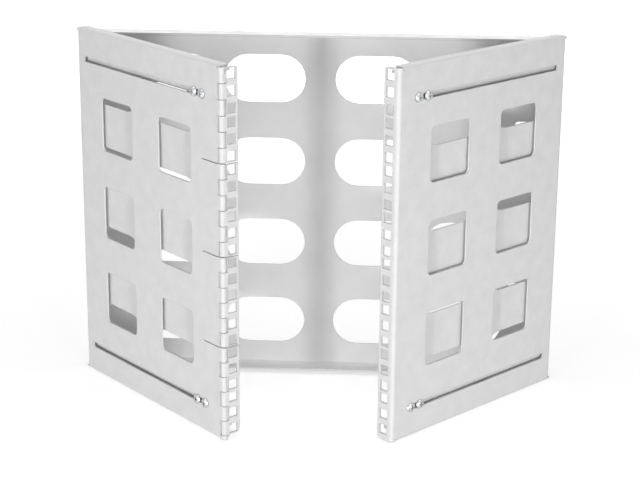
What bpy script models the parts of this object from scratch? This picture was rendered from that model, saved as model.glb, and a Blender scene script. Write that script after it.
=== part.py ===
"""Wall mount open frame rack, eight rack units.

Metres, +Z up, +Y into the wall, X to the right seen from the front.
The origin is the middle of the back plate's wall face.
Each side panel has its own frame: u runs forward along the panel from its
rear edge, off runs inward from its outer face, z is the height.
"""
import math

import bmesh
import bpy
from mathutils import Matrix, Vector

# Sheet
SHEET = 0.002              # thickness of all sheet
BEND = 0.001               # inner radius of a flange bend
GAP = 0.0003               # gap between pieces that touch

# Rack units and their square holes
RACK_UNIT = 0.04445
UNITS = 8
RAIL_HEIGHT = UNITS * RACK_UNIT
HOLE = 0.0095              # square hole
HOLE_STEP = RACK_UNIT / 2.8    # between holes of one unit
HOLE_TO_TOP = 0.0045       # top hole's middle below the top of the rack units
FIRST_HOLE = RAIL_HEIGHT / 2 - HOLE_TO_TOP

# Outer panels
PANEL_MARGIN = 0.00295     # panel beyond the rack units, above and below
PANEL_HEIGHT = RAIL_HEIGHT + 2 * PANEL_MARGIN
PANEL_LENGTH = 0.2387      # rear edge to the face of the fixed rail
HINGE_EXTRA = 0.0037       # by which the left panel with its hinge is longer
LEFT_PANEL_LENGTH = PANEL_LENGTH + HINGE_EXTRA
RIGHT_PANEL_LENGTH = PANEL_LENGTH
PANEL_FLANGE = 0.0133      # width of the top and bottom flanges
CURL_RADIUS = 0.0045       # outer radius of the curled rear edge
CURL_DROP = 0.0035         # curl ends this far from the panel's top and bottom
FLANGE_STOP = 0.0060       # flange ends this far behind the rail's face
FLANGE_CORNER = 0.0045     # radius of a flange's free corners
FRONT_BEND = 0.0015        # inner radius of the bend at the fixed rail
NOTCH_CLEAR = 0.0005       # relief between a flange's end and the front edge

# Windows of the outer panels
WINDOW_START = 0.0423      # rear edge of the first column
WINDOW_BAR_U = 0.0438      # sheet left between the columns
WINDOW_TO_FRONT = 0.0446   # sheet left in front of the second column
WINDOW_LENGTH = (PANEL_LENGTH - WINDOW_START - WINDOW_BAR_U - WINDOW_TO_FRONT) / 2
WINDOW_PITCH_U = WINDOW_LENGTH + WINDOW_BAR_U
WINDOW_BAR_Z = 0.0365      # sheet left between the rows
WINDOW_PITCH_Z = PANEL_HEIGHT / 4
WINDOW_HEIGHT = WINDOW_PITCH_Z - WINDOW_BAR_Z
WINDOW_CORNER = 0.005
LEFT_WINDOW_Z = -0.0005    # height of the middle row, left panel
RIGHT_WINDOW_Z = 0.0036    # height of the middle row, right panel

# Inner panels
SHEET_SPACE = 0.0035       # between the outer and the inner sheet
INNER_SET_BACK = 0.0107    # inner panel's front behind the rail's face
INNER_FRONT = PANEL_LENGTH - INNER_SET_BACK
INNER_HOLE_START = 0.0175
INNER_HOLE_BAR = 0.017     # sheet left between the columns
INNER_HOLE_TO_FRONT = 0.0295
INNER_HOLE_LENGTH = (INNER_FRONT - INNER_HOLE_START - INNER_HOLE_BAR - INNER_HOLE_TO_FRONT) / 2
INNER_HOLE_PITCH_U = INNER_HOLE_LENGTH + INNER_HOLE_BAR
INNER_ROW_TO_EDGE = 0.0567     # middle of an outer row below the panel's top
INNER_HOLE_PITCH_Z = (PANEL_HEIGHT / 2 - INNER_ROW_TO_EDGE) / 1.5
INNER_ROW_BAR = 0.0439     # sheet left between the rows
INNER_HOLE_HEIGHT = INNER_HOLE_PITCH_Z - INNER_ROW_BAR
INNER_HOLE_SHIFT = 0.0042  # up on the left, down on the right: one part turned over

# Slots and their screws
SLOT_TO_EDGE = 0.02975     # middle of a slot below the panel's top
SLOT_Z = PANEL_HEIGHT / 2 - SLOT_TO_EDGE
SLOT_START = 0.0125
SCREW_TO_FRONT = 0.0272    # rear screw of each pair behind the inner panel's front
SCREW_U = INNER_FRONT - SCREW_TO_FRONT
SCREW_PITCH = 0.0128
SCREW_RADIUS = 0.0025
SLOT_PLAY = 0.0003
HEAD_RADIUS = 0.0048
HEAD_HEIGHT = 0.0028
NUT_FLATS = 0.008
NUT_HEIGHT = 0.0036
SCREW_TIP = 0.001          # screw beyond its nut
SPACER_RADIUS = 0.0055

# Rack rails
HOLE_OFF = 0.01136         # hole centre from the panel's outer face
RAIL_WIDTH = 0.01865       # from the panel's outer face
RAIL_CORNER = 0.004
SECTION_GAP = 0.0014
SECTIONS = 4
RAIL_DROP = 0.0011         # hinged rail's top below the panel's top
RAIL_TOP = PANEL_HEIGHT / 2 - RAIL_DROP

# Rolled hinge of the left rail
KNUCKLE_RADIUS = 0.003
BORE_RADIUS = 0.0015
KNUCKLES = 6               # per rail section, panel and rail in turn
KNUCKLE_GAP = 0.0004
PIN_SUNK = 0.002           # pin end below the top of the barrel
RELIEF_LENGTH = 0.025
RELIEF_WIDTH = 0.0008

# Fold pivots
RAIL_SPACING = 0.4651      # hole centres across, both sides square to the wall
PIVOT_U = 0.0032
PIVOT_OFF = 0.014
PIVOT_TO_WALL = 0.0121
EAR_RADIUS = 0.0085        # round rear end of the inner panels' flanges
RIVET_RADIUS = 0.003
RIVET_HEAD = 0.0045
RIVET_HEAD_HEIGHT = 0.0012
LEFT_FOLD = math.radians(47.8)     # panel to wall, as shown
RIGHT_FOLD = math.radians(46.9)

# Back plate
PLATE_CLEAR = 0.002        # between its flanges and the outer panels' flanges
PLATE_DEPTH = 0.023
PLATE_EAR = 0.009          # round flange ends about the pivots
TRAY_CLEAR = 0.0004        # between its flanges and the inner panels' flanges
PLATE_HOLE_START = 0.0149  # nearest the middle
PLATE_HOLE_BAR = 0.011     # sheet left between the columns
PLATE_HOLE_TO_END = 0.0484
PLATE_ROW_TO_EDGE = 0.04805    # middle of an outer row below the plate's top
PLATE_ROW_BAR = 0.0367     # sheet left between the rows
FIX_TO_END = 0.0357        # wall screws, studs 16 inches apart
FIX_LENGTH = 0.014
FIX_WIDTH = 0.007

# Sizes that follow
HALF = PANEL_HEIGHT / 2
BEND_OUT = BEND + SHEET
FRONT_OUT = FRONT_BEND + SHEET
INNER_OFF = SHEET + SHEET_SPACE
PLATE_HALF = HALF - SHEET - PLATE_CLEAR
TRAY_HALF = PLATE_HALF - SHEET - TRAY_CLEAR
PIVOT_X = RAIL_SPACING / 2 + HOLE_OFF - PIVOT_OFF
PLATE_END = PIVOT_X + PLATE_EAR
PLATE_HOLE_LENGTH = (PLATE_END - PLATE_HOLE_START - PLATE_HOLE_BAR - PLATE_HOLE_TO_END) / 2
PLATE_HOLE_PITCH_X = PLATE_HOLE_LENGTH + PLATE_HOLE_BAR
PLATE_HOLE_PITCH_Z = (PLATE_HALF - PLATE_ROW_TO_EDGE) / 1.5
PLATE_HOLE_HEIGHT = PLATE_HOLE_PITCH_Z - PLATE_ROW_BAR
FIX_X = PLATE_END - FIX_TO_END
FIX_Z = PLATE_HOLE_PITCH_Z
BARREL_U = LEFT_PANEL_LENGTH - KNUCKLE_RADIUS
BARREL_OFF = KNUCKLE_RADIUS
SECTION_PITCH = RACK_UNIT * UNITS / SECTIONS
KNUCKLE_PITCH = SECTION_PITCH / KNUCKLES
RAIL_BOTTOM = RAIL_TOP - SECTION_PITCH * SECTIONS
REACH = 0.003              # how far cutters pass through


def arc(cx, cy, radius, start, end, steps):
    """Points of an arc, angles in degrees."""
    points = []
    for i in range(steps + 1):
        angle = math.radians(start + (end - start) * i / steps)
        points.append((cx + radius * math.cos(angle), cy + radius * math.sin(angle)))
    return points


def rounded(x0, x1, y0, y1, radius, steps):
    """Rectangle with round corners."""
    points = arc(x1 - radius, y0 + radius, radius, -90, 0, steps)
    points += arc(x1 - radius, y1 - radius, radius, 0, 90, steps)
    points += arc(x0 + radius, y1 - radius, radius, 90, 180, steps)
    points += arc(x0 + radius, y0 + radius, radius, 180, 270, steps)
    return points


def slot_shape(x0, x1, y, height, steps):
    """Straight slot with round ends."""
    radius = height / 2
    points = arc(x1 - radius, y, radius, -90, 90, steps)
    points += arc(x0 + radius, y, radius, 90, 270, steps)
    return points


def box_shape(x0, x1, y0, y1):
    """Plain rectangle."""
    return [(x0, y0), (x1, y0), (x1, y1), (x0, y1)]


def corner_shape(x, y, sx, sy, radius):
    """What comes off a corner at x, y to leave it round; sx, sy point outward."""
    inner = arc(0, 0, radius, 0, 90, 5)
    points = [(x + sx * (px - radius), y + sy * (py - radius)) for px, py in inner]
    points.append((x - sx * radius, y + sy * REACH))
    points.append((x + sx * REACH, y + sy * REACH))
    points.append((x + sx * REACH, y - sy * radius))
    return points


def add_prism(bm, points, axis, low, high):
    """Extrude a flat outline along one axis and add it as a closed body."""
    ring = []
    for a, b in points:
        if axis == "x":
            place = (low, a, b)
        elif axis == "y":
            place = (a, low, b)
        else:
            place = (a, b, low)
        ring.append(bm.verts.new(place))
    face = bm.faces.new(ring)
    grown = bmesh.ops.extrude_face_region(bm, geom=[face])
    moved = [item for item in grown["geom"] if isinstance(item, bmesh.types.BMVert)]
    step = {"x": (high - low, 0, 0), "y": (0, high - low, 0), "z": (0, 0, high - low)}
    bmesh.ops.translate(bm, verts=moved, vec=step[axis])


def solid(name, prisms, side=1):
    """Object made of closed extruded bodies; side -1 mirrors it for the right panel."""
    bm = bmesh.new()
    for points, axis, low, high in prisms:
        add_prism(bm, points, axis, low, high)
    if side < 0:
        bmesh.ops.scale(bm, vec=(1, -1, 1), verts=bm.verts)
    bmesh.ops.remove_doubles(bm, verts=bm.verts, dist=1e-7)
    bmesh.ops.recalc_face_normals(bm, faces=bm.faces)
    mesh = bpy.data.meshes.new(name)
    bm.to_mesh(mesh)
    bm.free()
    obj = bpy.data.objects.new(name, mesh)
    bpy.context.scene.collection.objects.link(obj)
    return obj


def turned(name, profile, steps, side=1):
    """Turn a closed (radius, height) profile about the Y axis."""
    bm = bmesh.new()
    verts = [bm.verts.new((radius, side * height, 0)) for radius, height in profile]
    edges = [bm.edges.new(pair) for pair in zip(verts, verts[1:])]
    if profile[0][0] > 0:
        edges.append(bm.edges.new((verts[-1], verts[0])))
    bmesh.ops.spin(bm, geom=verts + edges, cent=(0, 0, 0), axis=(0, 1, 0),
                   angle=math.tau, steps=steps, use_merge=True)
    bmesh.ops.remove_doubles(bm, verts=bm.verts, dist=1e-7)
    bmesh.ops.recalc_face_normals(bm, faces=bm.faces)
    mesh = bpy.data.meshes.new(name)
    bm.to_mesh(mesh)
    bm.free()
    obj = bpy.data.objects.new(name, mesh)
    bpy.context.scene.collection.objects.link(obj)
    return obj


def combine(obj, tool, operation):
    """Add or cut one object with another, then drop the tool."""
    modifier = obj.modifiers.new(operation.lower(), "BOOLEAN")
    modifier.operation = operation
    modifier.solver = "EXACT"
    modifier.object = tool
    bpy.context.view_layer.update()
    graph = bpy.context.evaluated_depsgraph_get()
    result = bpy.data.meshes.new_from_object(obj.evaluated_get(graph))
    obj.modifiers.clear()
    obj.data = result
    bpy.data.objects.remove(tool, do_unlink=True)


def finish(obj, material):
    """Dissolve flat seams, shade round faces smooth and set the material."""
    bm = bmesh.new()
    bm.from_mesh(obj.data)
    bmesh.ops.remove_doubles(bm, verts=bm.verts, dist=2e-6)
    bmesh.ops.dissolve_limit(bm, angle_limit=math.radians(0.5), verts=bm.verts, edges=bm.edges)
    bmesh.ops.triangulate(bm, faces=bm.faces)
    bm.to_mesh(obj.data)
    bm.free()
    obj.data.name = obj.name
    obj.data.shade_smooth()
    obj.data.set_sharp_from_angle(angle=math.radians(35))
    obj.data.materials.clear()
    obj.data.materials.append(material)


def material(name, color, metallic, roughness):
    """Principled material."""
    made = bpy.data.materials.new(name)
    made.use_nodes = True
    shader = made.node_tree.nodes["Principled BSDF"]
    shader.inputs["Base Color"].default_value = (color[0], color[1], color[2], 1.0)
    shader.inputs["Metallic"].default_value = metallic
    shader.inputs["Roughness"].default_value = roughness
    return made


def fold_of(side):
    """Angle between a side panel and the wall."""
    if side > 0:
        return LEFT_FOLD
    return RIGHT_FOLD


def panel_matrix(side):
    """From a side panel's own frame to the object's frame."""
    fold = fold_of(side)
    if side > 0:
        turn = -fold
    else:
        turn = math.pi + fold
    spin = Matrix.Rotation(turn, 4, "Z")
    pivot = Vector((-side * PIVOT_X, -PIVOT_TO_WALL, 0))
    local = Vector((PIVOT_U, side * PIVOT_OFF, 0))
    return Matrix.Translation(pivot) @ spin @ Matrix.Translation(-local)


def place(obj, side, u, off, z=0.0):
    """Put a mesh drawn in panel coordinates in its place, its origin at u, off, z."""
    origin = Vector((u, side * off, z))
    obj.data.transform(Matrix.Translation(-origin))
    obj.matrix_world = panel_matrix(side) @ Matrix.Translation(origin)


def place_piece(obj, side, u, off, z):
    """Put a piece drawn about its own origin at a point of a side panel."""
    obj.matrix_world = panel_matrix(side) @ Matrix.Translation(Vector((u, side * off, z)))


def flange_profile(face, edge, half, sign):
    """Bend and flange at the top (sign 1) or bottom (-1): off by height."""
    points = arc(face + BEND_OUT, 0, BEND_OUT, 180, 90, 5)
    points += [(edge, BEND_OUT), (edge, BEND)]
    points += arc(face + BEND_OUT, 0, BEND, 90, 180, 5)
    return [(a, sign * (half - BEND_OUT + b)) for a, b in points]


def curl_arcs():
    """Outer and inner arc of the curled rear edge."""
    radius = CURL_RADIUS
    outer = arc(radius, radius, radius, 180, 270, 6)
    inner = arc(radius, radius, radius - SHEET, 270, 180, 6)
    return outer, inner


def hinge_outline():
    """Outer panel with the hinge barrel at its front, seen from above."""
    outer, inner = curl_arcs()
    rise = SHEET - BARREL_OFF
    last = 180 - math.degrees(math.asin(rise / KNUCKLE_RADIUS))
    barrel = arc(BARREL_U, BARREL_OFF, KNUCKLE_RADIUS, -90, last, 12)
    return outer + barrel + inner


def rail_outline():
    """Outer panel with the fixed rail bent inward at its front, seen from above."""
    outer, inner = curl_arcs()
    centre = RIGHT_PANEL_LENGTH - FRONT_OUT
    bend = arc(centre, FRONT_OUT, FRONT_OUT, -90, 0, 6)
    back = arc(centre, FRONT_OUT, FRONT_BEND, 0, -90, 6)
    edge = [(RIGHT_PANEL_LENGTH, RAIL_WIDTH), (RIGHT_PANEL_LENGTH - SHEET, RAIL_WIDTH)]
    return outer + bend + edge + back + inner


def notch_cutters(front):
    """Room for the bent flanges above and below the web."""
    stop = front - FLANGE_STOP + NOTCH_CLEAR
    level = HALF - BEND_OUT
    web = box_shape(-REACH, stop, -REACH, CURL_RADIUS + REACH)
    return [(web, "z", level, HALF + REACH), (web, "z", -HALF - REACH, -level)]


def curl_end_cutters():
    """Gaps between the ends of the curl and the flanges."""
    shape = box_shape(-REACH, CURL_RADIUS, -REACH, CURL_RADIUS + REACH)
    end = HALF - CURL_DROP
    return [(shape, "z", end, HALF + REACH), (shape, "z", -HALF - REACH, -end)]


def flange_bodies(front):
    """Top and bottom flanges of an outer panel."""
    stop = front - FLANGE_STOP
    top = flange_profile(0, PANEL_FLANGE, HALF, 1)
    bottom = flange_profile(0, PANEL_FLANGE, HALF, -1)
    return [(top, "x", 0, stop), (bottom, "x", 0, stop)]


def flange_corner_cutters(front):
    """Round free corners of the flanges."""
    stop = front - FLANGE_STOP
    rear = corner_shape(0, PANEL_FLANGE, -1, 1, FLANGE_CORNER)
    fore = corner_shape(stop, PANEL_FLANGE, 1, 1, FLANGE_CORNER)
    level = HALF - BEND_OUT
    cutters = []
    for shape in (rear, fore):
        cutters.append((shape, "z", level, HALF + REACH))
        cutters.append((shape, "z", -HALF - REACH, -level))
    return cutters


def window_cutters(middle):
    """Two columns of three windows."""
    cutters = []
    for column in range(2):
        start = WINDOW_START + column * WINDOW_PITCH_U
        for row in range(-1, 2):
            low = middle + row * WINDOW_PITCH_Z - WINDOW_HEIGHT / 2
            shape = rounded(start, start + WINDOW_LENGTH, low, low + WINDOW_HEIGHT,
                            WINDOW_CORNER, 4)
            cutters.append((shape, "y", -REACH, SHEET + REACH / 2))
    return cutters


def slot_cutters():
    """Upper and lower slide slots."""
    height = 2 * (SCREW_RADIUS + SLOT_PLAY)
    end = SCREW_U + SCREW_PITCH + height / 2
    cutters = []
    for z in (-SLOT_Z, SLOT_Z):
        shape = slot_shape(SLOT_START, end, z, height, 6)
        cutters.append((shape, "y", -REACH, SHEET + REACH / 2))
    return cutters


def hole_heights():
    """Heights of the square holes, top to bottom."""
    heights = []
    for unit in range(UNITS):
        for hole in range(3):
            heights.append(FIRST_HOLE - unit * RACK_UNIT - hole * HOLE_STEP)
    return heights


def hole_cutters(face, top, bottom):
    """Square holes of a rail between two heights."""
    cutters = []
    for z in hole_heights():
        if bottom < z < top:
            shape = box_shape(HOLE_OFF - HOLE / 2, HOLE_OFF + HOLE / 2, z - HOLE / 2, z + HOLE / 2)
            cutters.append((shape, "x", face - SHEET - REACH, face + REACH))
    return cutters


def rail_band_cutters():
    """Room in the left panel's barrel for the rail sections' knuckles."""
    shape = box_shape(BARREL_U - KNUCKLE_RADIUS - KNUCKLE_GAP, LEFT_PANEL_LENGTH + REACH,
                      -REACH, 2 * KNUCKLE_RADIUS + REACH)
    cutters = []
    last = SECTIONS * KNUCKLES - 1
    for band in range(1, SECTIONS * KNUCKLES, 2):
        top = RAIL_TOP - band * KNUCKLE_PITCH + KNUCKLE_GAP / 2
        bottom = RAIL_TOP - (band + 1) * KNUCKLE_PITCH - KNUCKLE_GAP / 2
        if band == last:
            bottom = RAIL_BOTTOM - KNUCKLE_GAP
        cutters.append((shape, "z", bottom, top))
    return cutters


def relief_cutters():
    """Narrow slits in the left panel where two rail sections meet."""
    cutters = []
    for joint in range(1, SECTIONS):
        z = RAIL_TOP - joint * SECTION_PITCH
        shape = box_shape(BARREL_U - KNUCKLE_RADIUS - RELIEF_LENGTH, BARREL_U - KNUCKLE_RADIUS,
                          z - RELIEF_WIDTH, z)
        cutters.append((shape, "y", -REACH, SHEET + REACH / 2))
    return cutters


def bore_cutter(bottom, top):
    """Bore of the hinge barrel."""
    shape = arc(BARREL_U, BARREL_OFF, BORE_RADIUS, 0, 324, 9)
    return [(shape, "z", bottom, top)]


def left_outer_panel(paint):
    """Left outer panel with the panel half of the rolled hinge."""
    name = "left_outer_panel"
    obj = solid(name, [(hinge_outline(), "z", -HALF + GAP, RAIL_TOP)])
    cutters = notch_cutters(LEFT_PANEL_LENGTH) + rail_band_cutters()
    combine(obj, solid("notches", cutters), "DIFFERENCE")
    combine(obj, solid("curl_ends", curl_end_cutters()), "DIFFERENCE")
    combine(obj, solid("flanges", flange_bodies(LEFT_PANEL_LENGTH)), "UNION")
    cutters = window_cutters(LEFT_WINDOW_Z) + slot_cutters() + relief_cutters()
    cutters += flange_corner_cutters(LEFT_PANEL_LENGTH)
    cutters += bore_cutter(-HALF - REACH, HALF + REACH)
    combine(obj, solid("holes", cutters), "DIFFERENCE")
    finish(obj, paint)
    place(obj, 1, PIVOT_U, PIVOT_OFF)


def right_outer_panel(paint):
    """Right outer panel with the fixed rail bent from it."""
    name = "right_outer_panel"
    obj = solid(name, [(rail_outline(), "z", -HALF + GAP, HALF - GAP)], -1)
    combine(obj, solid("notches", notch_cutters(RIGHT_PANEL_LENGTH), -1), "DIFFERENCE")
    combine(obj, solid("curl_ends", curl_end_cutters(), -1), "DIFFERENCE")
    combine(obj, solid("flanges", flange_bodies(RIGHT_PANEL_LENGTH), -1), "UNION")
    cutters = window_cutters(RIGHT_WINDOW_Z) + slot_cutters()
    cutters += flange_corner_cutters(RIGHT_PANEL_LENGTH)
    cutters += hole_cutters(RIGHT_PANEL_LENGTH, HALF, -HALF)
    face = RIGHT_PANEL_LENGTH
    for sign in (-1, 1):
        shape = corner_shape(RAIL_WIDTH, sign * (HALF - GAP), 1, sign, RAIL_CORNER)
        cutters.append((shape, "x", face - SHEET - REACH, face + REACH))
    combine(obj, solid("holes", cutters, -1), "DIFFERENCE")
    finish(obj, paint)
    place(obj, -1, PIVOT_U, PIVOT_OFF)


def inner_panel(name, side, paint):
    """Inner panel: a tray pinned to the back plate; one part, turned over on the right."""
    web = box_shape(PIVOT_U, INNER_FRONT, INNER_OFF, INNER_OFF + SHEET)
    edge = PIVOT_OFF + EAR_RADIUS
    level = TRAY_HALF - BEND_OUT
    obj = solid(name, [(web, "z", -level, level)], side)
    flanges = []
    for sign in (-1, 1):
        flanges.append((flange_profile(INNER_OFF, edge, TRAY_HALF, sign), "x", PIVOT_U, INNER_FRONT))
    combine(obj, solid("flanges", flanges, side), "UNION")
    ears = []
    shape = arc(PIVOT_U, PIVOT_OFF, EAR_RADIUS, 90, 270, 14)
    shape += [(PIVOT_U + EAR_RADIUS, PIVOT_OFF - EAR_RADIUS + BEND_OUT), (PIVOT_U + EAR_RADIUS, edge)]
    ears.append((shape, "z", TRAY_HALF - SHEET, TRAY_HALF))
    ears.append((shape, "z", -TRAY_HALF, SHEET - TRAY_HALF))
    combine(obj, solid("ears", ears, side), "UNION")
    cutters = []
    shift = side * INNER_HOLE_SHIFT
    for column in range(2):
        start = INNER_HOLE_START + column * INNER_HOLE_PITCH_U
        for row in range(4):
            z = shift + (row - 1.5) * INNER_HOLE_PITCH_Z
            shape = slot_shape(start, start + INNER_HOLE_LENGTH, z, INNER_HOLE_HEIGHT, 9)
            cutters.append((shape, "y", INNER_OFF - REACH, INNER_OFF + SHEET + REACH))
    for number in range(2):
        for z in (-SLOT_Z, SLOT_Z):
            shape = arc(SCREW_U + number * SCREW_PITCH, z, SCREW_RADIUS + GAP, 0, 324, 9)
            cutters.append((shape, "y", INNER_OFF - REACH, INNER_OFF + SHEET + REACH))
    pin = arc(PIVOT_U, PIVOT_OFF, RIVET_RADIUS + GAP, 0, 324, 9)
    cutters.append((pin, "z", TRAY_HALF - SHEET - REACH, TRAY_HALF + REACH))
    cutters.append((pin, "z", -TRAY_HALF - REACH, SHEET - TRAY_HALF + REACH))
    fore = corner_shape(INNER_FRONT, edge, 1, 1, FLANGE_CORNER)
    cutters.append((fore, "z", level, TRAY_HALF + REACH))
    cutters.append((fore, "z", -TRAY_HALF - REACH, -level))
    combine(obj, solid("holes", cutters, side), "DIFFERENCE")
    finish(obj, paint)
    place(obj, side, PIVOT_U, PIVOT_OFF)


def rail_section(index, paint):
    """One hinged section of the left rail, two rack units high."""
    top = RAIL_TOP - index * SECTION_PITCH
    bottom = top - SECTION_PITCH
    if index > 0:
        top -= SECTION_GAP / 2
    if index < SECTIONS - 1:
        bottom += SECTION_GAP / 2
    lean = SHEET - KNUCKLE_RADIUS
    start = math.degrees(math.acos(-lean / KNUCKLE_RADIUS))
    barrel = arc(BARREL_U, BARREL_OFF, KNUCKLE_RADIUS, start, 360, 12)
    leaf = [(LEFT_PANEL_LENGTH, RAIL_WIDTH), (LEFT_PANEL_LENGTH - SHEET, RAIL_WIDTH)]
    obj = solid("left_rail_section_%d" % (index + 1), [(leaf + barrel, "z", bottom, top)])
    cutters = []
    shape = box_shape(BARREL_U - KNUCKLE_RADIUS - REACH, LEFT_PANEL_LENGTH + REACH,
                      -REACH, 2 * KNUCKLE_RADIUS + KNUCKLE_GAP)
    for band in range(index * KNUCKLES, (index + 1) * KNUCKLES, 2):
        high = RAIL_TOP - band * KNUCKLE_PITCH + KNUCKLE_GAP / 2
        low = RAIL_TOP - (band + 1) * KNUCKLE_PITCH - KNUCKLE_GAP / 2
        if band == index * KNUCKLES:
            high = top + REACH
        cutters.append((shape, "z", low, high))
    combine(obj, solid("bands", cutters), "DIFFERENCE")
    cutters = bore_cutter(bottom - REACH, top + REACH)
    cutters += hole_cutters(LEFT_PANEL_LENGTH, top, bottom)
    if index == 0:
        corner = corner_shape(RAIL_WIDTH, top, 1, 1, RAIL_CORNER / 2)
        cutters.append((corner, "x", LEFT_PANEL_LENGTH - SHEET - REACH, LEFT_PANEL_LENGTH + REACH))
    if index == SECTIONS - 1:
        corner = corner_shape(RAIL_WIDTH, bottom, 1, -1, RAIL_CORNER)
        cutters.append((corner, "x", LEFT_PANEL_LENGTH - SHEET - REACH, LEFT_PANEL_LENGTH + REACH))
    combine(obj, solid("holes", cutters), "DIFFERENCE")
    finish(obj, paint)
    place(obj, 1, BARREL_U, BARREL_OFF, (top + bottom) / 2)


def hinge_pin(steel):
    """Pin through the whole barrel, sunk at its ends."""
    top = RAIL_TOP - PIN_SUNK
    bottom = -HALF + PIN_SUNK
    shape = arc(BARREL_U, BARREL_OFF, BORE_RADIUS - GAP, 0, 324, 9)
    obj = solid("left_rail_hinge_pin", [(shape, "z", bottom, top)])
    finish(obj, steel)
    place(obj, 1, BARREL_U, BARREL_OFF)


def back_plate(paint):
    """Back plate: a shallow tray open to the front."""
    level = PLATE_HALF - BEND_OUT
    web = box_shape(-PLATE_END, PLATE_END, -SHEET, 0)
    obj = solid("back_plate", [(web, "z", -level, level)])
    flanges = []
    for sign in (-1, 1):
        shape = flange_profile(0, PLATE_DEPTH, PLATE_HALF, sign)
        shape = [(-a, b) for a, b in shape]
        flanges.append((shape, "x", -PLATE_END, PLATE_END))
    combine(obj, solid("flanges", flanges), "UNION")
    cutters = plate_hole_cutters() + plate_end_cutters() + fixing_cutters()
    combine(obj, solid("holes", cutters), "DIFFERENCE")
    finish(obj, paint)


def plate_hole_cutters():
    """Four columns of four long holes."""
    cutters = []
    for side in (-1, 1):
        for column in range(2):
            near = PLATE_HOLE_START + column * PLATE_HOLE_PITCH_X
            far = near + PLATE_HOLE_LENGTH
            x0 = min(side * near, side * far)
            x1 = max(side * near, side * far)
            for row in range(4):
                z = (row - 1.5) * PLATE_HOLE_PITCH_Z
                shape = slot_shape(x0, x1, z, PLATE_HOLE_HEIGHT, 10)
                cutters.append((shape, "y", -SHEET - REACH, REACH))
    return cutters


def plate_end_cutters():
    """Round flange ends about the pivots, and the pivot holes."""
    cutters = []
    y = -PIVOT_TO_WALL
    for side in (-1, 1):
        x = side * PIVOT_X
        shape = [(x + side * px, y + py) for px, py in arc(0, 0, PLATE_EAR, 0, -90, 8)]
        shape.append((x - side * PLATE_EAR, -PLATE_DEPTH - GAP))
        shape.append((x - side * PLATE_EAR, -PLATE_DEPTH - REACH))
        shape.append((x + side * (PLATE_EAR + REACH), -PLATE_DEPTH - REACH))
        shape.append((x + side * (PLATE_EAR + REACH), y))
        pin = arc(x, y, RIVET_RADIUS + GAP, 0, 324, 9)
        for low, high in ((-PLATE_HALF - REACH, SHEET - PLATE_HALF + REACH),
                          (PLATE_HALF - SHEET - REACH, PLATE_HALF + REACH)):
            cutters.append((shape, "z", low, high))
            cutters.append((pin, "z", low, high))
    return cutters


def fixing_cutters():
    """Four slots for the wall screws."""
    cutters = []
    for x in (-FIX_X, FIX_X):
        for z in (-FIX_Z, FIX_Z):
            shape = slot_shape(x - FIX_LENGTH / 2, x + FIX_LENGTH / 2, z, FIX_WIDTH, 5)
            cutters.append((shape, "y", -SHEET - REACH, REACH))
    return cutters


def pivot_rivet(name, side, sign, steel):
    """Rivet through a plate flange and an inner panel's flange."""
    outside = PLATE_HALF + GAP
    inside = TRAY_HALF - SHEET - GAP
    tall = RIVET_HEAD_HEIGHT
    profile = [(0, outside + tall), (RIVET_HEAD - tall / 2, outside + tall),
               (RIVET_HEAD, outside + tall / 2), (RIVET_HEAD, outside), (RIVET_RADIUS, outside),
               (RIVET_RADIUS, inside), (RIVET_HEAD, inside), (RIVET_HEAD, inside - tall / 2),
               (RIVET_HEAD - tall / 2, inside - tall), (0, inside - tall)]
    middle = (outside + inside) / 2
    obj = turned(name, [(radius, height - middle) for radius, height in profile], 12)
    obj.data.transform(Matrix.Rotation(math.radians(90 * sign), 4, "X"))
    finish(obj, steel)
    obj.location = (-side * PIVOT_X, -PIVOT_TO_WALL, sign * middle)


def slot_screw(name, side, u, z, steel):
    """Pan head screw with a cross recess, from outside to the nut."""
    tall = HEAD_HEIGHT
    tip = INNER_OFF + SHEET + GAP + NUT_HEIGHT + SCREW_TIP
    profile = [(0, -GAP - tall), (HEAD_RADIUS * 0.55, -GAP - tall * 0.95),
               (HEAD_RADIUS * 0.88, -GAP - tall * 0.7), (HEAD_RADIUS, -GAP - tall * 0.3),
               (HEAD_RADIUS, -GAP), (SCREW_RADIUS, -GAP), (SCREW_RADIUS, tip - 0.0006),
               (SCREW_RADIUS - 0.0006, tip), (0, tip)]
    obj = turned(name, profile, 14, side)
    wide = 0.0009
    long = HEAD_RADIUS * 1.1
    floor = -GAP - tall * 0.45
    arms = [(box_shape(-long / 2, long / 2, -wide / 2, wide / 2), "y", -GAP - tall - REACH, floor),
            (box_shape(-wide / 2, wide / 2, -long / 2, long / 2), "y", -GAP - tall - REACH, floor)]
    recess = solid("recess", [arms[0]], side)
    combine(recess, solid("arm", [arms[1]], side), "UNION")
    combine(obj, recess, "DIFFERENCE")
    finish(obj, steel)
    place_piece(obj, side, u, 0, z)


def slot_nut(name, side, u, z, steel):
    """Hexagon nut on the inside of the inner panel."""
    corner = NUT_FLATS / math.sqrt(3)
    low = INNER_OFF + SHEET + GAP
    obj = solid(name, [(arc(0, 0, corner, 0, 300, 5), "y", 0, NUT_HEIGHT)], side)
    bore = arc(0, 0, SCREW_RADIUS + GAP, 0, 315, 7)
    combine(obj, solid("bore", [(bore, "y", -REACH, NUT_HEIGHT + REACH)], side), "DIFFERENCE")
    finish(obj, steel)
    place_piece(obj, side, u, low, z)


def slot_spacer(name, side, u, z, plastic):
    """Ring that keeps the two sheets apart and glides in between."""
    low = GAP
    high = SHEET_SPACE - GAP
    bore = SCREW_RADIUS + GAP
    profile = [(bore, low), (SPACER_RADIUS, low), (SPACER_RADIUS, high), (bore, high)]
    obj = turned(name, profile, 12, side)
    finish(obj, plastic)
    place_piece(obj, side, u, SHEET, z)


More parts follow.
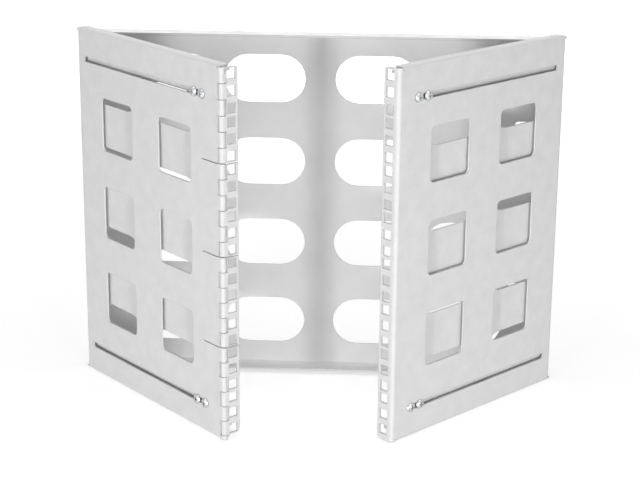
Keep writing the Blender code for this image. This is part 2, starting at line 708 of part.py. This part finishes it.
def slot_fasteners(label, side, steel, zinc, plastic):
    """Screws, nuts and spacers of one side."""
    for level, sign in (("top", 1), ("bottom", -1)):
        for number in range(2):
            u = SCREW_U + number * SCREW_PITCH
            tail = "%s_%d" % (level, number + 1)
            slot_screw("%s_slot_screw_%s" % (label, tail), side, u, sign * SLOT_Z, steel)
            slot_nut("%s_slot_nut_%s" % (label, tail), side, u, sign * SLOT_Z, zinc)
            slot_spacer("%s_slot_spacer_%s" % (label, tail), side, u, sign * SLOT_Z, plastic)


def clear_scene():
    """Empty the scene."""
    for obj in list(bpy.data.objects):
        bpy.data.objects.remove(obj, do_unlink=True)


def build():
    """Build the rack."""
    clear_scene()
    plate_paint = material("powder_coat_plate", (0.78, 0.78, 0.78), 0.0, 0.45)
    inner_paint = material("powder_coat_inner", (0.76, 0.76, 0.76), 0.0, 0.45)
    outer_paint = material("powder_coat_outer", (0.80, 0.80, 0.80), 0.0, 0.45)
    rail_paint = material("powder_coat_rail", (0.82, 0.82, 0.82), 0.0, 0.45)
    screw_steel = material("zinc_screw", (0.75, 0.76, 0.78), 1.0, 0.35)
    nut_steel = material("zinc_nut", (0.62, 0.63, 0.65), 1.0, 0.45)
    rivet_steel = material("steel_rivet", (0.68, 0.69, 0.70), 1.0, 0.40)
    pin_steel = material("steel_pin", (0.45, 0.46, 0.48), 1.0, 0.35)
    ring_plastic = material("white_nylon", (0.85, 0.85, 0.84), 0.0, 0.50)
    back_plate(plate_paint)
    for label, side in (("left", 1), ("right", -1)):
        inner_panel("%s_inner_panel" % label, side, inner_paint)
        slot_fasteners(label, side, screw_steel, nut_steel, ring_plastic)
        for level, sign in (("top", 1), ("bottom", -1)):
            pivot_rivet("%s_pivot_rivet_%s" % (label, level), side, sign, rivet_steel)
    left_outer_panel(outer_paint)
    right_outer_panel(outer_paint)
    for index in range(SECTIONS):
        rail_section(index, rail_paint)
    hinge_pin(pin_steel)


build()
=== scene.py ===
"""Looks of the wall mount open frame rack: materials, stage, lights and camera.

Metres, in the frame of the CAD model: +Z up, +Y into the wall, X to the right.
"""
import math

import bpy
from mathutils import Matrix, Vector


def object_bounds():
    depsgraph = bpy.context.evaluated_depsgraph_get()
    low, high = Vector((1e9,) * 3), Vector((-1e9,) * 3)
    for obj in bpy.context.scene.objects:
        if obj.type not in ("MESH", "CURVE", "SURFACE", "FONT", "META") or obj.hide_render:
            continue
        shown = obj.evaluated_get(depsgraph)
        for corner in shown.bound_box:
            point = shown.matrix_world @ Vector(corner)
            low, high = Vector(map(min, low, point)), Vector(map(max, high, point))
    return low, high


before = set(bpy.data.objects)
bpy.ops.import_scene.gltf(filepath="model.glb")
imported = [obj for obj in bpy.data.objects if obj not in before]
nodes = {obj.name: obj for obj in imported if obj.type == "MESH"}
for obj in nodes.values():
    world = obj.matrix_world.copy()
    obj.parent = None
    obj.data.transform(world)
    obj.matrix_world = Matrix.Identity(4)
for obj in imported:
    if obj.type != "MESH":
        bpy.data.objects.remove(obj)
cad_box = [list(corner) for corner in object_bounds()]

# Side panels and rails

# Two outer and two inner panels of 2 mm steel sheet, punched and folded. The
# left rail is four leaves on a rolled hinge, the right rail is bent from its
# panel. All were powder coated white after forming.

MM = 0.001                   # m
COAT_WHITE = "#E5E5E5"       # the coat where it lies thick
COAT_THIN = "#DCDCDC"        # where it flowed thinner
COAT_EDGE = "#888888"        # on sharp edges, where the melting coat pulls back
COAT_FLOW = 14.0             # mm, drift of the coat's thickness
EDGE_WIDTH = 0.5             # mm, really about 0.3: drawn coarser so that it shows
ORANGE_PEEL = 3.2            # mm, really about 1.5: drawn coarser so that it shows
COAT_GRAIN = 0.9             # mm, really about 0.2: drawn coarser so that it shows
GRAIN_SHARE = 0.25           # of the grain in the colour, against the drift
PEEL_DEPTH = 0.4             # mm
GRAIN_DEPTH = 0.1            # mm
EDGE_START = 0.98            # cosine between a face and its rounded edge
EDGE_FULL = 0.84             # the same, where the coat is thinnest
OUTER_ROUGHNESS = 0.55
INNER_ROUGHNESS = 0.52
RAIL_ROUGHNESS = 0.55


def linear(code):
    """Linear colour of an sRGB hex value."""
    values = []
    for start in (1, 3, 5):
        level = int(code[start:start + 2], 16) / 255
        if level <= 0.04045:
            values.append(level / 12.92)
        else:
            values.append(((level + 0.055) / 1.055) ** 2.4)
    return (values[0], values[1], values[2], 1.0)


def add(material, kind, settings=None, links=None):
    """Add a node: settings are its properties or sockets, links its inputs."""
    node = material.node_tree.nodes.new(kind)
    for key, value in (settings or {}).items():
        if isinstance(key, str) and hasattr(node, key):
            setattr(node, key, value)
        else:
            node.inputs[key].default_value = value
    for key, source in (links or {}).items():
        material.node_tree.links.new(source, node.inputs[key])
    return node


def blank(name):
    """An empty node material."""
    material = bpy.data.materials.new(name)
    material.use_nodes = True
    material.node_tree.nodes.clear()
    return material


def powder_coat(name, thick, thin, roughness, drift):
    """Powder-coated steel: baked coat with soft sheen and faint orange peel.

    The eye sees an even, slightly cloudy white whose highlights are broad
    and a little uneven, because the coat flows into low waves as it melts.
    Sharp edges show a thin grey line, where the coat is thinnest. Drift moves
    the pattern, so that no two finishes share it."""
    material = blank(name)
    place = add(material, "ShaderNodeTexCoord").outputs["Object"]
    moved = add(material, "ShaderNodeMapping", {"Location": drift}, {"Vector": place})
    at = moved.outputs["Vector"]
    flow = add(material, "ShaderNodeTexNoise",
               {"Scale": 1 / (COAT_FLOW * MM), "Detail": 3.0, "Roughness": 0.55}, {"Vector": at})
    peel = add(material, "ShaderNodeTexNoise",
               {"Scale": 1 / (ORANGE_PEEL * MM), "Detail": 2.0, "Roughness": 0.5}, {"Vector": at})
    grain = add(material, "ShaderNodeTexNoise",
                {"Scale": 1 / (COAT_GRAIN * MM), "Detail": 1.0, "Roughness": 0.6}, {"Vector": at})
    mixed = add(material, "ShaderNodeMath", {"operation": "MULTIPLY_ADD", 1: GRAIN_SHARE},
                {0: grain.outputs["Fac"], 2: flow.outputs["Fac"]})
    tone = add(material, "ShaderNodeValToRGB", {}, {"Fac": mixed.outputs["Value"]})
    tone.color_ramp.elements[0].position = 0.35
    tone.color_ramp.elements[0].color = linear(thin)
    tone.color_ramp.elements[1].position = 0.85
    tone.color_ramp.elements[1].color = linear(thick)
    rough = add(material, "ShaderNodeMapRange",
                {"From Min": 0.3, "From Max": 0.7,
                 "To Min": roughness - 0.05, "To Max": roughness + 0.07},
                {"Value": flow.outputs["Fac"]})
    flat = add(material, "ShaderNodeNewGeometry").outputs["True Normal"]
    rim = add(material, "ShaderNodeBevel", {"samples": 6, "Radius": EDGE_WIDTH * MM})
    bend = add(material, "ShaderNodeVectorMath", {"operation": "DOT_PRODUCT"},
               {0: flat, 1: rim.outputs["Normal"]})
    edge = add(material, "ShaderNodeMapRange", {"From Min": EDGE_START, "From Max": EDGE_FULL},
               {"Value": bend.outputs["Value"]})
    coat = add(material, "ShaderNodeMix", {"data_type": "RGBA", 7: linear(COAT_EDGE)},
               {0: edge.outputs["Result"], 6: tone.outputs["Color"]})
    waves = add(material, "ShaderNodeBump", {"Strength": 0.10, "Distance": PEEL_DEPTH * MM},
                {"Height": peel.outputs["Fac"], "Normal": rim.outputs["Normal"]})
    fine = add(material, "ShaderNodeBump", {"Strength": 0.12, "Distance": GRAIN_DEPTH * MM},
               {"Height": grain.outputs["Fac"], "Normal": waves.outputs["Normal"]})
    skin = add(material, "ShaderNodeBsdfPrincipled", {"IOR": 1.5},
               {"Base Color": coat.outputs[2], "Roughness": rough.outputs["Result"],
                "Normal": fine.outputs["Normal"]})
    add(material, "ShaderNodeOutputMaterial", {}, {"Surface": skin.outputs["BSDF"]})
    return material


def finish(name, material):
    """Give a CAD node its material."""
    for slot in nodes[name].material_slots:
        slot.material = material


outer_coat = powder_coat("powder_coated_steel_outer_panel", COAT_WHITE, COAT_THIN,
                         OUTER_ROUGHNESS, (0, 0, 0))
inner_coat = powder_coat("powder_coated_steel_inner_panel", COAT_WHITE, COAT_THIN,
                         INNER_ROUGHNESS, (3, 1, 2))
rail_coat = powder_coat("powder_coated_steel_rail", COAT_WHITE, COAT_THIN,
                        RAIL_ROUGHNESS, (5, 2, 7))
for side in ("left", "right"):
    finish(side + "_outer_panel", outer_coat)
    finish(side + "_inner_panel", inner_coat)
for number in range(1, 5):
    finish("left_rail_section_%d" % number, rail_coat)

# Back plate

# Shallow tray of 2 mm steel sheet with sixteen long holes, screwed to the
# wall. Its powder coat is the panels' coat, a little glossier. It is drawn whiter
# than theirs: painted light that brightens the plate where it lies in shade
# between the side panels.

# whiter than the panels' coat: painted light for the plate's shade between the panels
PLATE_PAINTED_LIGHT_THICK = "#EEEEEE"
PLATE_PAINTED_LIGHT_THIN = "#EAEAEA"
PLATE_ROUGHNESS = 0.44

plate_coat = powder_coat("powder_coated_steel_back_plate", PLATE_PAINTED_LIGHT_THICK, PLATE_PAINTED_LIGHT_THIN,
                         PLATE_ROUGHNESS, (1, 8, 4))
finish("back_plate", plate_coat)

# Slot screws, nuts, rivets and hinge pin

# Pan head screws and hexagon nuts, cold formed and bright zinc plated. The fold
# pivots are pressed steel rivets with a thin, duller zinc coat. The hinge pin is
# drawn steel wire, darker, with fine marks along it.

ZINC_BRIGHT = "#D2D3D4"
ZINC_DULL = "#AEB0B2"
RIVET_BRIGHT = "#C6C8CA"
RIVET_DULL = "#A2A5A8"
WIRE_BRIGHT = "#8E9093"
WIRE_DULL = "#6C6F72"
ZINC_CLOUD = 2.5             # mm, dull clouds of the passivated zinc
DRAW_LINE = 0.35             # mm, between drawing or turning marks
MARK_DEPTH = 0.05            # mm
SCREW_ROUGHNESS = (0.34, 0.48)    # of bright and of dull clouds
NUT_ROUGHNESS = (0.28, 0.44)
RIVET_ROUGHNESS = (0.30, 0.46)
WIRE_ROUGHNESS = (0.30, 0.45)


def zinc_plate(name, bright, dull, roughness, stretch):
    """Zinc-plated steel: thin bright metal skin, clouded by its passivation.

    The eye sees small soft highlights, softer where a cloud is dull. Stretch
    draws the marks out along the piece."""
    material = blank(name)
    place = add(material, "ShaderNodeTexCoord").outputs["Object"]
    cloud = add(material, "ShaderNodeTexNoise",
                {"Scale": 1 / (ZINC_CLOUD * MM), "Detail": 3.0}, {"Vector": place})
    line_place = add(material, "ShaderNodeMapping", {"Scale": stretch}, {"Vector": place})
    marks = add(material, "ShaderNodeTexNoise",
                {"Scale": 1 / (DRAW_LINE * MM), "Detail": 1.0},
                {"Vector": line_place.outputs["Vector"]})
    tone = add(material, "ShaderNodeValToRGB", {}, {"Fac": cloud.outputs["Fac"]})
    tone.color_ramp.elements[0].position = 0.35
    tone.color_ramp.elements[0].color = linear(dull)
    tone.color_ramp.elements[1].position = 0.65
    tone.color_ramp.elements[1].color = linear(bright)
    rough = add(material, "ShaderNodeMapRange",
                {"From Min": 0.3, "From Max": 0.7,
                 "To Min": roughness[0], "To Max": roughness[1]},
                {"Value": cloud.outputs["Fac"]})
    bump = add(material, "ShaderNodeBump", {"Strength": 0.15, "Distance": MARK_DEPTH * MM},
               {"Height": marks.outputs["Fac"]})
    skin = add(material, "ShaderNodeBsdfPrincipled", {"Metallic": 1.0},
               {"Base Color": tone.outputs["Color"], "Roughness": rough.outputs["Result"],
                "Normal": bump.outputs["Normal"]})
    add(material, "ShaderNodeOutputMaterial", {}, {"Surface": skin.outputs["BSDF"]})
    return material


screw_zinc = zinc_plate("zinc_plated_steel_screw", ZINC_BRIGHT, ZINC_DULL,
                        SCREW_ROUGHNESS, (1, 1, 1))
nut_zinc = zinc_plate("zinc_plated_steel_nut", ZINC_BRIGHT, ZINC_DULL,
                      NUT_ROUGHNESS, (1, 1, 1))
rivet_steel = zinc_plate("pressed_steel_rivet", RIVET_BRIGHT, RIVET_DULL,
                         RIVET_ROUGHNESS, (1, 1, 0.2))
pin_steel = zinc_plate("drawn_steel_hinge_pin", WIRE_BRIGHT, WIRE_DULL,
                       WIRE_ROUGHNESS, (1, 1, 0.05))
for side in ("left", "right"):
    for level in ("top", "bottom"):
        for number in ("1", "2"):
            tail = level + "_" + number
            finish(side + "_slot_screw_" + tail, screw_zinc)
            finish(side + "_slot_nut_" + tail, nut_zinc)
        finish(side + "_pivot_rivet_" + level, rivet_steel)
finish("left_rail_hinge_pin", pin_steel)

# Spacer rings

# Moulded nylon rings on the slot screws, which keep the two sheets of a side
# panel apart and let them glide. Their white is warmer than the coat's.

NYLON = "#E6E3DA"
NYLON_SHADE = "#D8D4C8"
NYLON_FLOW = 3.0             # mm, flow marks of the moulding
FLOW_DEPTH = 0.05            # mm
NYLON_ROUGHNESS = 0.38


def moulded_nylon(name):
    """Moulded nylon: milky white with a waxy sheen and faint flow marks."""
    material = blank(name)
    place = add(material, "ShaderNodeTexCoord").outputs["Object"]
    flow = add(material, "ShaderNodeTexNoise",
               {"Scale": 1 / (NYLON_FLOW * MM), "Detail": 2.0}, {"Vector": place})
    tone = add(material, "ShaderNodeValToRGB", {}, {"Fac": flow.outputs["Fac"]})
    tone.color_ramp.elements[0].position = 0.3
    tone.color_ramp.elements[0].color = linear(NYLON_SHADE)
    tone.color_ramp.elements[1].position = 0.7
    tone.color_ramp.elements[1].color = linear(NYLON)
    bump = add(material, "ShaderNodeBump", {"Strength": 0.1, "Distance": FLOW_DEPTH * MM},
               {"Height": flow.outputs["Fac"]})
    skin = add(material, "ShaderNodeBsdfPrincipled", {"IOR": 1.53, "Roughness": NYLON_ROUGHNESS},
               {"Base Color": tone.outputs["Color"], "Normal": bump.outputs["Normal"]})
    add(material, "ShaderNodeOutputMaterial", {}, {"Surface": skin.outputs["BSDF"]})
    return material


nylon = moulded_nylon("moulded_nylon_spacer")
for side in ("left", "right"):
    for level in ("top", "bottom"):
        for number in ("1", "2"):
            finish(side + "_slot_spacer_" + level + "_" + number, nylon)

# Floor

# Plain pale studio paper, level with the lowest edge of the rack. Where the
# camera or a reflection looks at it, it is lifted to white, more so far off,
# and the rack's shadow stays on it.

WHITE = "#FFFFFF"
PAPER = "#D9D9D9"
PAPER_SHADE = "#D6D6D6"
PAPER_CLOUD = 300.0          # mm, slow unevenness of the sheet
FLOOR_SIZE = 14.0            # m
FLOOR_GAP = 0.0002           # m, below the lowest edge
NEAR, FAR = 0.35, 1.6        # m, from under the middle of the back plate
LIFT_NEAR, LIFT_FAR = 0.59, 0.90    # white added there, where 1 is white

bpy.ops.object.select_all(action="DESELECT")
bpy.ops.mesh.primitive_plane_add(size=FLOOR_SIZE, location=(0, 0, cad_box[0][2] - FLOOR_GAP))
floor = bpy.context.object
floor.name = "floor"
paper = blank("matt_studio_paper")
place = add(paper, "ShaderNodeTexCoord").outputs["Object"]
mottle = add(paper, "ShaderNodeTexNoise", {"Scale": 1 / (PAPER_CLOUD * MM), "Detail": 2.0},
             {"Vector": place})
shade = add(paper, "ShaderNodeValToRGB", {}, {"Fac": mottle.outputs["Fac"]})
shade.color_ramp.elements[0].color = linear(PAPER_SHADE)
shade.color_ramp.elements[1].color = linear(PAPER)
sheet = add(paper, "ShaderNodeBsdfDiffuse", {}, {"Color": shade.outputs["Color"]})
rays = add(paper, "ShaderNodeLightPath")
seen = add(paper, "ShaderNodeMath", {"operation": "MAXIMUM"},
           {0: rays.outputs["Is Camera Ray"], 1: rays.outputs["Is Glossy Ray"]})
clear = add(paper, "ShaderNodeMath", {"operation": "MAXIMUM"},
            {0: seen.outputs["Value"], 1: rays.outputs["Is Transmission Ray"]})
away = add(paper, "ShaderNodeVectorMath", {"operation": "LENGTH"}, {0: place})
amount = add(paper, "ShaderNodeMapRange",
             {"From Min": NEAR, "From Max": FAR, "To Min": LIFT_NEAR, "To Max": LIFT_FAR},
             {"Value": away.outputs["Value"]})
level = add(paper, "ShaderNodeMath", {"operation": "MULTIPLY"},
            {0: clear.outputs["Value"], 1: amount.outputs["Result"]})
lift = add(paper, "ShaderNodeEmission", {"Color": linear(WHITE)},
           {"Strength": level.outputs["Value"]})
both = add(paper, "ShaderNodeAddShader", {},
           {0: sheet.outputs["BSDF"], 1: lift.outputs["Emission"]})
add(paper, "ShaderNodeOutputMaterial", {}, {"Surface": both.outputs["Shader"]})
floor.data.materials.append(paper)

# World

# White surroundings. The camera and reflections see them as white, and only a
# little even light comes from them to the rack.

AMBIENT = 0.15               # where 1 is white

world = bpy.data.worlds.new("studio")
bpy.context.scene.world = world
world.use_nodes = True
world.node_tree.nodes.clear()
rays = add(world, "ShaderNodeLightPath")
seen = add(world, "ShaderNodeMath", {"operation": "MAXIMUM"},
           {0: rays.outputs["Is Camera Ray"], 1: rays.outputs["Is Glossy Ray"]})
clear = add(world, "ShaderNodeMath", {"operation": "MAXIMUM"},
            {0: seen.outputs["Value"], 1: rays.outputs["Is Transmission Ray"]})
level = add(world, "ShaderNodeMapRange", {"To Min": AMBIENT, "To Max": 1.0},
            {"Value": clear.outputs["Value"]})
sky = add(world, "ShaderNodeBackground", {"Color": linear(WHITE)},
          {"Strength": level.outputs["Result"]})
add(world, "ShaderNodeOutputWorld", {}, {"Surface": sky.outputs["Background"]})

# Lamps

# Soft boxes, three of them plain ones overhead, in front and behind. Two low
# strips beside the camera shine past each other between the rails, and leave a
# dark band on the back plate. Two weak ones at the floor light the panels' foot.


def soft_box(name, spot, target, size, power):
    """Rectangular soft box at a spot, turned to a target: metres and watts."""
    data = bpy.data.lights.new(name, "AREA")
    data.shape = "RECTANGLE"
    data.size = size[0]
    data.size_y = size[1]
    data.energy = power
    lamp = bpy.data.objects.new(name, data)
    bpy.context.scene.collection.objects.link(lamp)
    lamp.location = spot
    aim = Vector(target) - Vector(spot)
    lamp.rotation_euler = aim.to_track_quat("-Z", "Y").to_euler()
    lamp.visible_camera = False


soft_box("overhead_soft_box", spot=(0.0, -0.15, 1.3), target=(0, -0.1, 0),
         size=(1.0, 1.0), power=8.0)
soft_box("front_soft_box", spot=(0.05, -2.4, 0.35), target=(0, 0, 0),
         size=(0.5, 0.6), power=4.5)
soft_box("left_strip_box", spot=(-0.95, -2.31, 0.0), target=(0, 0, 0),
         size=(0.28, 0.36), power=22.0)
soft_box("right_strip_box", spot=(0.95, -2.31, 0.0), target=(0, 0, 0),
         size=(0.28, 0.36), power=20.5)
soft_box("left_table_box", spot=(-0.62, -0.45, -0.14), target=(-0.16, -0.1, -0.16),
         size=(0.5, 0.08), power=0.35)
soft_box("right_table_box", spot=(0.62, -0.45, -0.14), target=(0.16, -0.1, -0.16),
         size=(0.5, 0.08), power=0.35)
soft_box("rear_soft_box", spot=(0.0, 2.2, 0.4), target=(0, 0, 0),
         size=(2.0, 1.0), power=18.0)

# Camera

# Stands where the photograph was taken, by a fit to the rack's edges. The
# photograph's upright lines don't lean, which takes a shift too large for the
# other views, so here they lean a little and nothing is shifted.

WIDTH = 640                  # pixels across the photograph's frame
SENSOR = 36.0                # mm
FOCAL = 1700.0               # pixels
SPOT = (0.07921, -1.67647, 0.48760)          # m
YAW, PITCH, ROLL = 0.0468, 0.3051, 0.0092    # radians

data = bpy.data.cameras.new("camera")
data.sensor_width = SENSOR
data.lens = FOCAL * SENSOR / WIDTH
camera = bpy.data.objects.new("camera", data)
bpy.context.scene.collection.objects.link(camera)
camera.location = SPOT
turn = Matrix.Rotation(YAW, 3, "Z") @ Matrix.Rotation(math.pi / 2 - PITCH, 3, "X")
camera.rotation_euler = (turn @ Matrix.Rotation(ROLL, 3, "Z")).to_euler()
bpy.context.scene.camera = camera
bpy.context.scene.view_settings.view_transform = "Standard"
